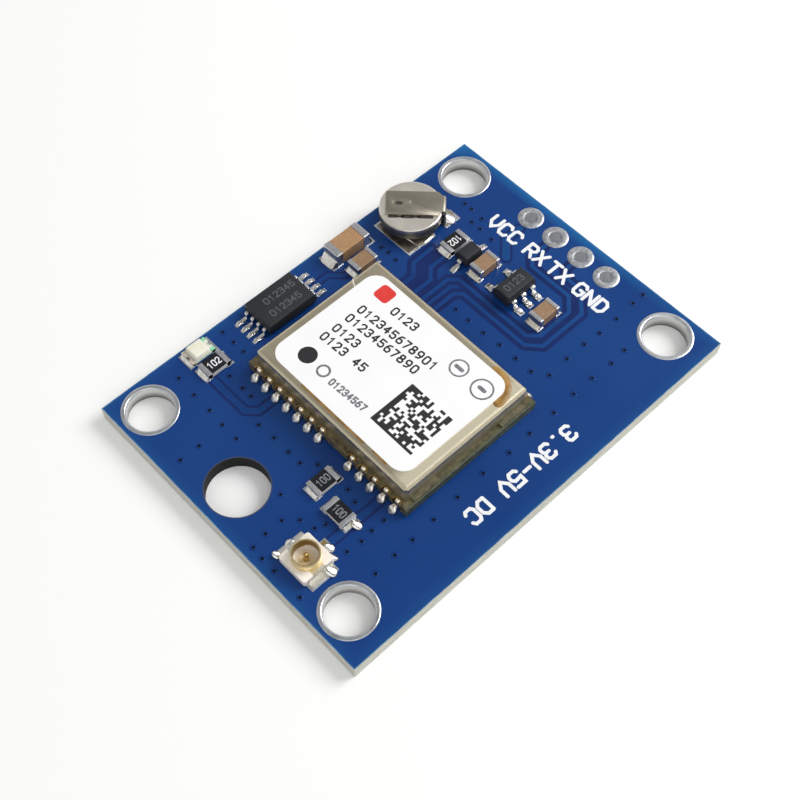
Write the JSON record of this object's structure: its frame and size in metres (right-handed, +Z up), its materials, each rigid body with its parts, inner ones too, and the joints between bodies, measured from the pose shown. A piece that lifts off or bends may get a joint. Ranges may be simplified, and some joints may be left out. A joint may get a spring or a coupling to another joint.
{
  "type": "satellite positioning receiver board",
  "caption": "Flat blue carrier board with a castellated positioning receiver under a shield can, a backup coin cell, a regulator, a memory chip, an antenna socket and a row of header holes.",
  "frame": {"origin": "middle of the board's underside", "axes": "+X along the board towards the header holes, +Y towards the edge with the coin cell and memory chip, +Z up out of the component side"},
  "size_m": [0.0352, 0.0258, 0.0037],
  "materials": {
    "board_mask": "blue solder mask over glass-fibre laminate, pale sawn edges",
    "tin": "hot-levelled tin and solder, bright and a little uneven",
    "gold": "thin gold plating",
    "module_mask": "green solder mask over laminate",
    "can_sheet": "drawn nickel-silver sheet, satin",
    "label_paper": "matt white printed label",
    "chip_resin": "moulded black epoxy",
    "crystal_ceramic": "fired ceramic",
    "lid_metal": "plated lid",
    "brown_ceramic": "fired brown ceramic, satin",
    "white_ceramic": "fired white alumina",
    "dark_coat": "black glaze coat",
    "cell_steel": "satin nickel-plated steel",
    "tab_steel": "rolled steel strip",
    "seal_nylon": "moulded nylon",
    "socket_resin": "moulded cream resin",
    "light_laminate": "thin pale laminate",
    "lens_resin": "cast cream resin"
  },
  "bodies": {
    "root": {"circuit_board": "board_mask", "mounting_hole_plating": "tin", "header_hole_plating": "tin", "surface_pads": "tin", "module_board": "module_mask", "module_edge_contacts": "gold", "module_solder": "tin", "shield_can": "can_sheet", "module_label": "label_paper", "receiver_chip": "chip_resin", "reference_crystal": "crystal_ceramic", "crystal_lid": "lid_metal", "clock_crystal": "lid_metal", "antenna_filter": "crystal_ceramic", "low_noise_amplifier": "chip_resin", "module_chip_bodies": "brown_ceramic", "module_chip_ends": "tin", "cell_can": "cell_steel", "cell_seal": "seal_nylon", "cell_cap": "cell_steel", "cell_top_tab": "tab_steel", "cell_bottom_tab": "tab_steel", "socket_base": "socket_resin", "socket_shell": "gold", "socket_contact": "gold", "memory_body": "chip_resin", "memory_leads": "tin", "regulator_body": "chip_resin", "regulator_leads": "tin", "diode_body": "chip_resin", "diode_leads": "tin", "light_base": "light_laminate", "light_terminals": "tin", "light_lens": "lens_resin", "bulk_capacitor_body": "brown_ceramic", "bulk_capacitor_ends": "tin", "supply_capacitor_body": "brown_ceramic", "supply_capacitor_ends": "tin", "input_capacitor_body": "brown_ceramic", "input_capacitor_ends": "tin", "output_capacitor_body": "brown_ceramic", "output_capacitor_ends": "tin", "light_resistor_core": "white_ceramic", "light_resistor_coat": "dark_coat", "light_resistor_ends": "tin", "charge_resistor_core": "white_ceramic", "charge_resistor_coat": "dark_coat", "charge_resistor_ends": "tin", "feed_resistor_core": "white_ceramic", "feed_resistor_coat": "dark_coat", "feed_resistor_ends": "tin", "line_resistor_core": "white_ceramic", "line_resistor_coat": "dark_coat", "line_resistor_ends": "tin", "chip_solder": "tin", "lead_solder": "tin"}
  },
  "joints": []
}
